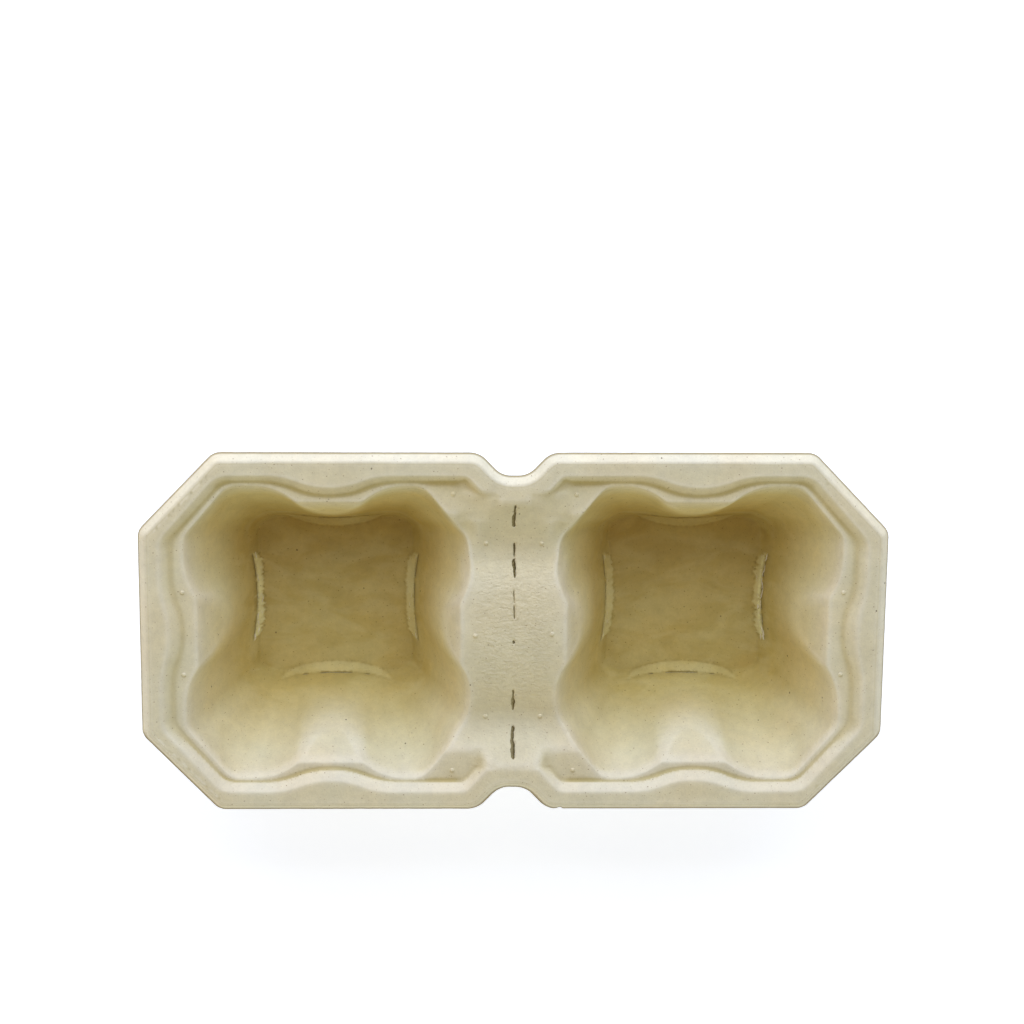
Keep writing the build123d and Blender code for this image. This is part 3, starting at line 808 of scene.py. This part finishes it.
# how much each slit's painted shade is lifted towards pale pulp
slit_less_shade = np.full(n_all, 0.6)
a, b, m = NL, nt + NL, nt + nb + len(strip)
for k, lp in enumerate(SLITS):
    f = CUTS[k][3] if k < len(CUTS) else 0.6
    slit_less_shade[a:a + len(lp)] = slit_less_shade[b:b + len(lp)] = slit_less_shade[m:m + len(lp)] = f
    a, b, m = a + len(lp), b + len(lp), m + len(lp)
for nm, val in (("inner", inner), ("under", under), ("ledge", ledge), ("cut", cut),
                ("ridge_light_crease_shade", ridge_light_crease_shade), ("slit_less_shade", slit_less_shade), ("wall", wall)):
    at = carrier.data.attributes.new(nm, "FLOAT", "POINT")
    at.data.foreach_set("value", val.astype(np.float32))


# ------------------------------------------------------------------- material
class Graph:
    """A material's nodes; positions are the object's own, in millimetres."""

    def __init__(self, name):
        self.mat = bpy.data.materials.new(name)
        self.mat.use_nodes = True
        self.nodes, self.links = self.mat.node_tree.nodes, self.mat.node_tree.links
        self.nodes.clear()
        out = self.nodes.new("ShaderNodeOutputMaterial")
        self.bsdf = self.nodes.new("ShaderNodeBsdfPrincipled")
        self.links.new(self.bsdf.outputs[0], out.inputs[0])
        tc = self.nodes.new("ShaderNodeTexCoord")
        self.pos = self.scaled(tc.outputs["Object"], 1000.0)

    def put(self, sock, v):
        if hasattr(v, "is_output"):
            self.links.new(v, sock)
        else:
            sock.default_value = v

    def scaled(self, vec, k):
        n = self.nodes.new("ShaderNodeVectorMath")
        if isinstance(k, tuple):
            n.operation = "MULTIPLY"
            n.inputs[1].default_value = k
        else:
            n.operation = "SCALE"
            n.inputs["Scale"].default_value = k
        self.put(n.inputs[0], vec)
        return n.outputs[0]

    def turned(self, vec, angle, scale):
        n = self.nodes.new("ShaderNodeMapping")
        n.vector_type = "TEXTURE"
        n.inputs["Rotation"].default_value = angle
        n.inputs["Scale"].default_value = scale
        self.put(n.inputs["Vector"], vec)
        return n.outputs[0]

    def math(self, op, a, b=0.5, c=None, clamp=False):
        n = self.nodes.new("ShaderNodeMath")
        n.operation, n.use_clamp = op, clamp
        self.put(n.inputs[0], a)
        self.put(n.inputs[1], b)
        if c is not None:
            self.put(n.inputs[2], c)
        return n.outputs[0]

    def span(self, v, lo, hi, to0=0.0, to1=1.0, smooth=True):
        n = self.nodes.new("ShaderNodeMapRange")
        n.interpolation_type = "SMOOTHSTEP" if smooth else "LINEAR"
        self.put(n.inputs["Value"], v)
        for nm, x in (("From Min", lo), ("From Max", hi), ("To Min", to0), ("To Max", to1)):
            n.inputs[nm].default_value = x
        return n.outputs["Result"]

    def blend(self, mode, fac, a, b):
        n = self.nodes.new("ShaderNodeMix")
        n.data_type, n.blend_type = "RGBA", mode
        n.clamp_factor = True
        self.put(n.inputs[0], fac)
        for sock, v in ((n.inputs[6], a), (n.inputs[7], b)):
            self.put(sock, (*v, 1.0) if isinstance(v, tuple) else v)
        return n.outputs[2]

    def noise(self, vec, scale, detail=2.0, rough=0.5, distort=0.0):
        n = self.nodes.new("ShaderNodeTexNoise")
        self.put(n.inputs["Vector"], vec)
        n.inputs["Scale"].default_value = scale
        n.inputs["Detail"].default_value = detail
        n.inputs["Roughness"].default_value = rough
        n.inputs["Distortion"].default_value = distort
        return n.outputs[0]

    def dots(self, vec, scale, r0, r1):
        """1 inside small balls scattered through space, 0 outside."""
        n = self.nodes.new("ShaderNodeTexVoronoi")
        n.feature = "F1"
        self.put(n.inputs["Vector"], vec)
        n.inputs["Scale"].default_value = scale
        return self.span(n.outputs["Distance"], r0 * scale, r1 * scale, 1.0, 0.0)

    def ramp(self, fac, stops):
        n = self.nodes.new("ShaderNodeValToRGB")
        r = n.color_ramp
        while len(r.elements) < len(stops):
            r.elements.new(0.5)
        for e, (at, col) in zip(r.elements, stops):
            e.position, e.color = at, (*col, 1.0)
        self.put(n.inputs[0], fac)
        return n.outputs[0]

    def attr(self, name):
        n = self.nodes.new("ShaderNodeAttribute")
        n.attribute_name = name
        return n.outputs["Fac"]


BASE = (0.864, 0.797, 0.594)
# painted shade: deeper in a pocket the pulp is painted darker and browner: height in mm, then what the base is
# multiplied by
DEPTH_SHADE = [(0.0, (0.68, 0.605, 0.32)), (2.5, (0.77, 0.70, 0.41)), (8.0, (0.825, 0.756, 0.47)),
         (16.0, (0.86, 0.815, 0.605)), (24.0, (0.93, 0.916, 0.795)), (32.0, (0.965, 0.975, 0.93)),
         (38.0, (0.926, 0.920, 0.878))]


def pulp_material(name):
    g = Graph(name)
    pos = g.pos
    inner, under, ledge = g.attr("inner"), g.attr("under"), g.attr("ledge")
    cut, ridge_light_crease_shade = g.attr("cut"), g.attr("ridge_light_crease_shade")
    sep = g.nodes.new("ShaderNodeSeparateXYZ")
    g.links.new(pos, sep.inputs[0])
    x, y, z = sep.outputs

    # painted shade: the upper side is painted darker and browner with depth in the pockets; the foot ledges are paler,
    # partly their own colour and partly painted light
    tint = g.ramp(g.span(z, 0.0, 44.0, smooth=False), [(h / 44.0, c) for h, c in DEPTH_SHADE])
    soft = g.noise(pos, 0.11, 2.0, 0.55)
    tint = g.blend("MIX", ledge, tint, (1.14, 1.19, 0.95))
    # painted shade: the outside and underside are painted greyer and darker towards the floor
    tint = g.blend("MIX", inner, g.ramp(g.span(z, 0.0, 44.0, smooth=False), [
        (0.0, (0.54, 0.55, 0.60)), (0.45, (0.64, 0.65, 0.70)), (0.9, (0.86, 0.87, 0.89))]), tint)
    col = g.blend("MULTIPLY", 1.0, BASE, tint)

    # mottling: broad clouds of wetter and drier pulp, then finer flocks
    cloud = g.noise(pos, 0.045, 2.0, 0.5)
    flock = g.noise(pos, 0.42, 3.0, 0.62)
    grain = g.noise(pos, 1.9, 2.0, 0.7)
    warm = g.blend("MIX", g.span(cloud, 0.36, 0.64), (1.0, 0.985, 0.945), (0.985, 1.0, 1.0))
    col = g.blend("MULTIPLY", 1.0, col, warm)
    blotch = g.noise(g.scaled(pos, (0.75, 1.5, 1.0)), 0.085, 3.0, 0.58, 0.6)
    # painted shade: pocket walls half way down and the floors' +Y end are painted browner
    col = g.blend("MULTIPLY", g.attr("wall"), col, (0.95, 0.88, 0.66))
    stain = g.blend("MIX", g.span(blotch, 0.36, 0.66), (0.93, 0.895, 0.80), (1.035, 1.05, 1.11))
    deep = g.math("MULTIPLY", g.math("MULTIPLY", g.span(z, 1.0, 26.0, 1.0, 0.0), inner), g.math("SUBTRACT", 1.0, ledge))
    col = g.blend("MIX", deep, col, g.blend("MULTIPLY", 1.0, col, stain))
    tone = g.math("ADD", g.span(soft, 0.3, 0.7, 0.965, 1.03, False), g.span(flock, 0.3, 0.7, -0.045, 0.045, False))
    tone = g.math("ADD", tone, g.span(grain, 0.3, 0.7, -0.035, 0.035, False))
    # painted highlight on ridges, the -Y step face and the skirt's round; painted shade in creases and hollows
    col = g.blend("MULTIPLY", g.math("MULTIPLY", g.math("MAXIMUM", ridge_light_crease_shade, 0.0), 0.7), col, (1.10, 1.12, 1.26))
    low = g.math("MULTIPLY", g.math("MINIMUM", ridge_light_crease_shade, 0.0), -1.0, clamp=True)
    col = g.blend("MULTIPLY", low, col, (0.73, 0.67, 0.46))
    n = g.nodes.new("ShaderNodeCombineColor")
    for k in range(3):
        g.links.new(tone, n.inputs[k])
    col = g.blend("MULTIPLY", 1.0, col, n.outputs[0])

    # fibres: thin wavy lines, where stretched noise crosses its middle value
    wob = g.nodes.new("ShaderNodeVectorMath")
    wob.operation = "MULTIPLY_ADD"
    nz = g.nodes.new("ShaderNodeTexNoise")
    g.links.new(pos, nz.inputs["Vector"])
    nz.inputs["Scale"].default_value = 0.5
    nz.inputs["Detail"].default_value = 1.0
    g.links.new(nz.outputs["Color"], wob.inputs[0])
    wob.inputs[1].default_value = (1.6, 1.6, 1.6)
    g.links.new(pos, wob.inputs[2])
    fibres = []
    for ang, sx, sy, w in ((0.25, 2.6, 0.42, 0.016), (1.35, 2.2, 0.38, 0.014), (2.35, 2.9, 0.45, 0.016)):
        v = g.turned(wob.outputs[0], (0.12, 0.2, ang), (sx, sy, 0.9))
        f = g.noise(v, 1.0, 0.0)
        line = g.span(g.math("ABSOLUTE", g.math("SUBTRACT", f, 0.5)), w * 0.3, w * 1.5, 1.0, 0.0)
        patch = g.span(g.noise(g.scaled(pos, (1.0 + ang * 0.3, 1.0, 1.0)), 0.8, 1.0), 0.54, 0.64)
        fibres.append(g.math("MULTIPLY", line, patch))
    pale_f = g.math("MULTIPLY", g.math("MAXIMUM", fibres[0], fibres[1]), 0.42)
    dark_f = g.math("MULTIPLY", fibres[2], 0.30)
    col = g.blend("MIX", pale_f, col, g.blend("MULTIPLY", 1.0, col, (1.10, 1.10, 1.14)))
    col = g.blend("MIX", dark_f, col, g.blend("MULTIPLY", 1.0, col, (0.74, 0.68, 0.56)))

    # specks of bark and husk
    jig = g.scaled(nz.outputs["Color"], 0.35)
    at = g.nodes.new("ShaderNodeVectorMath")
    at.operation = "ADD"
    g.links.new(pos, at.inputs[0])
    g.links.new(jig, at.inputs[1])
    tiny = g.dots(at.outputs[0], 0.80, 0.08, 0.17)
    small = g.dots(g.scaled(at.outputs[0], (1.0, 1.35, 1.0)), 0.36, 0.12, 0.26)
    large = g.dots(g.scaled(at.outputs[0], (1.3, 1.0, 1.1)), 0.105, 0.20, 0.40)
    col = g.blend("MIX", g.math("MULTIPLY", tiny, 0.7), col, g.blend("MULTIPLY", 1.0, col, (0.62, 0.52, 0.38)))
    col = g.blend("MIX", g.math("MULTIPLY", small, 0.8), col, g.blend("MULTIPLY", 1.0, col, (0.48, 0.37, 0.24)))
    col = g.blend("MIX", g.math("MULTIPLY", large, 0.85), col, (0.16, 0.105, 0.05))

    # cut edges are browner and hairy; along the -Y skirt the browning is painted shade
    col = g.blend("MIX", g.math("MULTIPLY", cut, 0.95), col, g.blend("MULTIPLY", 1.0, col, (0.38, 0.32, 0.21)))
    g.links.new(col, g.bsdf.inputs["Base Color"])

    # roughness: matt, a little smoother where the press polished the ridges
    ro = g.math("ADD", g.span(flock, 0.3, 0.7, 0.66, 0.80, False), g.span(grain, 0.3, 0.7, -0.05, 0.05, False))
    ro = g.math("SUBTRACT", ro, g.math("MULTIPLY", g.math("MAXIMUM", ridge_light_crease_shade, 0.0), 0.06))
    ro = g.math("ADD", ro, g.math("MULTIPLY", g.math("MAXIMUM", cut, under), 0.10), clamp=True)
    g.links.new(ro, g.bsdf.inputs["Roughness"])
    g.bsdf.inputs["Specular IOR Level"].default_value = 0.30

    # bump in mm: flocks, grain, the wrinkled middle of the bridge, the underside's
    # wire-screen marks
    h = g.math("ADD", g.math("MULTIPLY", flock, 0.10), g.math("MULTIPLY", grain, 0.045))
    wr = g.noise(g.scaled(wob.outputs[0], (0.62, 0.95, 0.8)), 1.0, 3.0, 0.6)
    on_b = g.math("MULTIPLY", g.span(g.math("ABSOLUTE", x), 7.0, 15.0, 1.0, 0.0),
                  g.span(g.math("ABSOLUTE", y), 12.0, 27.0, 1.0, 0.25))
    on_b = g.math("MULTIPLY", on_b, g.span(z, 30.0, 36.0))
    h = g.math("ADD", h, g.math("MULTIPLY", g.math("MULTIPLY", wr, 0.46), g.math("MULTIPLY", on_b, inner)))
    mesh_ = g.math("MULTIPLY", g.math("SINE", g.math("MULTIPLY", x, 7.0)), g.math("SINE", g.math("MULTIPLY", y, 7.0)))
    h = g.math("ADD", h, g.math("MULTIPLY", g.math("MULTIPLY", mesh_, 0.014), under))
    bump = g.nodes.new("ShaderNodeBump")
    bump.inputs["Strength"].default_value = 1.0
    bump.inputs["Distance"].default_value = 0.001
    g.links.new(h, bump.inputs["Height"])
    g.links.new(bump.outputs[0], g.bsdf.inputs["Normal"])
    return g.mat


def slit_material(name):
    """Inside of a slit: torn pulp painted dark brown, painted shade for the dark seen down a slit; paler on some slits.
    """
    g = Graph(name)
    n = g.noise(g.pos, 2.4, 3.0, 0.6)
    painted_dark = g.ramp(n, [(0.3, (0.12, 0.095, 0.04)), (0.7, (0.34, 0.28, 0.13))])
    new = g.ramp(n, [(0.3, (0.55, 0.48, 0.26)), (0.7, (0.82, 0.74, 0.46))])
    g.links.new(g.blend("MIX", g.attr("slit_less_shade"), painted_dark, new), g.bsdf.inputs["Base Color"])
    g.links.new(g.span(n, 0.3, 0.7, 0.85, 0.97, False), g.bsdf.inputs["Roughness"])
    g.bsdf.inputs["Specular IOR Level"].default_value = 0.1
    bump = g.nodes.new("ShaderNodeBump")
    bump.inputs["Distance"].default_value = 0.001
    g.links.new(g.math("MULTIPLY", n, 0.12), bump.inputs["Height"])
    g.links.new(bump.outputs[0], g.bsdf.inputs["Normal"])
    return g.mat


pulp = pulp_material("moulded_pulp")
carrier.data.materials.append(pulp)
carrier.data.materials.append(slit_material("slit_wall_painted_shade"))
index = np.zeros(len(F), np.int32)
index[PLAIN:] = 1
carrier.data.polygons.foreach_set("material_index", index)
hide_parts("carrier")
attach(carrier, "root")

# ------------------------------------- torn fibres along the outer foot slits
def strand(pts, radius, sides=5):
    """A tapered, closed fibre along a line of points."""
    pts = np.array(pts)
    n = len(pts)
    t = np.gradient(pts, axis=0)
    t /= np.linalg.norm(t, axis=1)[:, None]
    a = np.cross(t, (0.13, 0.31, 0.94))
    a /= np.linalg.norm(a, axis=1)[:, None]
    b = np.cross(t, a)
    r = radius * np.clip(np.sin(np.pi * np.linspace(0.10, 0.97, n)), 0.12, 1)
    ang = 2 * np.pi * np.arange(sides) / sides
    ring_ = pts[:, None] + r[:, None, None] * (np.cos(ang)[None, :, None] * a[:, None]
                                              + 0.55 * np.sin(ang)[None, :, None] * b[:, None])
    v = np.vstack([ring_.reshape(-1, 3), pts[:1] - t[:1] * r[0], pts[-1:] + t[-1:] * r[-1]])
    f = []
    for i in range(n - 1):
        for j in range(sides):
            p, q_ = i * sides + j, i * sides + (j + 1) % sides
            f += [(p, q_, q_ + sides), (p, q_ + sides, p + sides)]
    for j in range(sides):
        f += [(n * sides, (j + 1) % sides, j),
              (n * sides + 1, (n - 1) * sides + j, (n - 1) * sides + (j + 1) % sides)]
    return v, np.array(f)


SV, SF, count = [], [], 0
for px, py, ang, half, width, torn, on_x, outer, n1, n2 in LEDGES:
    if not on_x:
        continue
    if outer and px > 0:       # place along the slit, length, offset outwards, thickness
        tufts = [(12.2, 2.6, -0.1, 0.26), (8.2, 3.4, -0.05, 0.22), (4.5, 4.4, -0.15, 0.22),
                 (1.0, 4.8, 0.0, 0.23), (-2.2, 2.8, -0.3, 0.22), (-3.4, 1.4, -1.0, 0.34),
                 (-10.2, 2.4, -0.4, 0.26), (-11.8, 3.0, -0.2, 0.30), (-12.6, 2.0, -1.0, 0.24)]
        hairs = 26
    elif outer:
        tufts = [(12.4, 2.2, -0.4, 0.26), (10.6, 2.0, -1.1, 0.22), (8.4, 1.6, -0.7, 0.20),
                 (6.2, 2.2, -0.5, 0.16), (1.2, 2.4, -1.6, 0.16), (-5.0, 2.0, -0.6, 0.16),
                 (-12.2, 2.0, -0.9, 0.24)]
        hairs = 18
    else:
        tufts = [(11.8, 1.2, -0.6, 0.10), (-12.0, 1.4, -0.6, 0.10)]
        hairs = 5
    for k in range(hairs):
        tufts.append((RNG.uniform(-12.8, 12.8), RNG.uniform(0.5, 1.5), RNG.uniform(-2.0, 0.0),
                      RNG.uniform(0.035, 0.07)))
    for v0, length, off, rad in tufts:
        n = max(5, int(length / 0.3))
        u = np.linspace(-0.5, 0.5, n)
        vv = v0 + u * length
        skew = RNG.uniform(-0.35, 0.35) * (1.0 if rad < 0.1 else 0.25)
        dd = off + skew * u * length + 0.10 * np.sin(u * RNG.uniform(4, 9) + RNG.uniform(0, 6))
        uu = SLIT_R - np.sqrt(SLIT_R ** 2 - vv ** 2) + dd
        c, k = math.cos(ang), math.sin(ang)
        xx, yy = px + uu * c - vv * k, py + uu * k + vv * c
        zz = (sample(G, xx, yy) + ledges(xx, yy)[0] + rad * 0.35
              + RNG.uniform(0.1, 0.5) * np.clip(u, 0, 1) ** 1.5 * (0.8 if rad < 0.1 else 0.4))
        v, f = strand(np.c_[xx, yy, zz], rad)
        SV.append(v)
        SF.append(f + count)
        count += len(v)
torn_mat = Graph("torn_fibre")
n = torn_mat.noise(torn_mat.pos, 1.6, 3.0, 0.6)
torn_mat.links.new(torn_mat.ramp(n, [(0.3, (0.80, 0.72, 0.50)), (0.7, (0.96, 0.93, 0.84))]),
                   torn_mat.bsdf.inputs["Base Color"])
torn_mat.links.new(torn_mat.span(n, 0.3, 0.7, 0.6, 0.85, False), torn_mat.bsdf.inputs["Roughness"])
torn_mat.bsdf.inputs["Specular IOR Level"].default_value = 0.3
bump = torn_mat.nodes.new("ShaderNodeBump")
bump.inputs["Distance"].default_value = 0.001
torn_mat.links.new(torn_mat.math("MULTIPLY", n, 0.05), bump.inputs["Height"])
torn_mat.links.new(bump.outputs[0], torn_mat.bsdf.inputs["Normal"])
SV, SF = np.vstack(SV), np.vstack(SF)
tufts_ob = make_mesh("torn_fibres", SV, SF, 60)
tufts_ob.data.materials.append(torn_mat.mat)
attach(tufts_ob, "root")
print("torn fibres", len(SV), "points", len(SF), "triangles")

# ------------------------------------------------------------ floor and lights
fm = bpy.data.materials.new("pale_floor")
fm.use_nodes = True
b = fm.node_tree.nodes["Principled BSDF"]
b.inputs["Base Color"].default_value = (0.80, 0.82, 0.88, 1)
b.inputs["Roughness"].default_value = 0.9
b.inputs["Specular IOR Level"].default_value = 0.1
b.inputs["Emission Color"].default_value = (0.95, 1.0, 1.09, 1)
b.inputs["Emission Strength"].default_value = 0.60
fme = bpy.data.meshes.new("floor")
fme.from_pydata([(-3, -3, 0), (3, -3, 0), (3, 3, 0), (-3, 3, 0)], [], [(0, 1, 2, 3)])
floor = bpy.data.objects.new("floor", fme)
floor.location.z = -0.0002
bpy.context.scene.collection.objects.link(floor)
fme.materials.append(fm)


def area(name, loc, target, sx, sy, watts, colour=(1, 1, 1)):
    l = bpy.data.lights.new(name, "AREA")
    l.shape, l.size, l.size_y, l.energy, l.color = "RECTANGLE", sx, sy, watts, colour
    o = bpy.data.objects.new(name, l)
    bpy.context.scene.collection.objects.link(o)
    o.location = loc
    o.rotation_mode = "QUATERNION"
    o.rotation_quaternion = (Vector(target) - Vector(loc)).to_track_quat("-Z", "Y")
    return o


# name, azimuth from +Y towards +X, elevation, distance, width, height, radiant power, colour
LIGHTS = [
    ("back_low", 0, 14, 1.6, 2.8, 0.7, (10.0, 10.5, 14.9)),
    ("back_mid", 0, 40, 1.6, 1.8, 0.8, (10.5, 11.8, 13.0)),
    ("back_high", 0, 54, 1.6, 0.5, 0.14, (0.6, 0.45, 0.2)),
    ("left_low", -90, 16, 1.6, 2.0, 0.7, (3.4, 2.3, 0.9)),
    ("right_low", 90, 16, 1.6, 2.0, 0.7, (1.2, 1.2, 0.8)),
    ("front_low", 180, 18, 1.6, 2.2, 0.7, (6.2, 6.2, 3.4)),
    ("top", 0, 89.9, 1.5, 1.4, 1.4, (1.3, 0.7, 0.3)),
]
for name, az, el, dist, sx, sy, rgb in LIGHTS:
    az, el = math.radians(az), math.radians(el)
    power = max(rgb)
    area(name, (dist * math.sin(az) * math.cos(el), dist * math.cos(az) * math.cos(el),
                0.03 + dist * math.sin(el)), (0, 0, 0.03), sx, sy, power,
         tuple(c / power for c in rgb))

world = bpy.data.worlds.new("studio")
bpy.context.scene.world = world
world.use_nodes = True
world.node_tree.nodes["Background"].inputs[0].default_value = (1, 1, 1, 1)
world.node_tree.nodes["Background"].inputs[1].default_value = 0.25
bpy.context.scene.view_settings.view_transform = "Standard"
bpy.context.scene.view_settings.look = "None"

# ---------------------------------------------------------------------- camera
right = (0.99957722, 0.00852209, 0.02779860)
down = (0.00102401, -0.96580658, 0.25926165)
ahead = (0.02905752, -0.25912357, -0.96540698)
cam_data = bpy.data.cameras.new("camera")
cam_data.sensor_fit = "HORIZONTAL"
cam_data.sensor_width = 36.0
cam_data.lens = 106.07
cam_data.clip_start, cam_data.clip_end = 0.01, 20
cam = bpy.data.objects.new("camera", cam_data)
bpy.context.scene.collection.objects.link(cam)
cam.matrix_world = Matrix((
    (right[0], -down[0], -ahead[0], -0.0252),
    (right[1], -down[1], -ahead[1], 0.2535),
    (right[2], -down[2], -ahead[2], 0.8527),
    (0, 0, 0, 1)))
bpy.context.scene.camera = cam

bpy.context.view_layer.update()
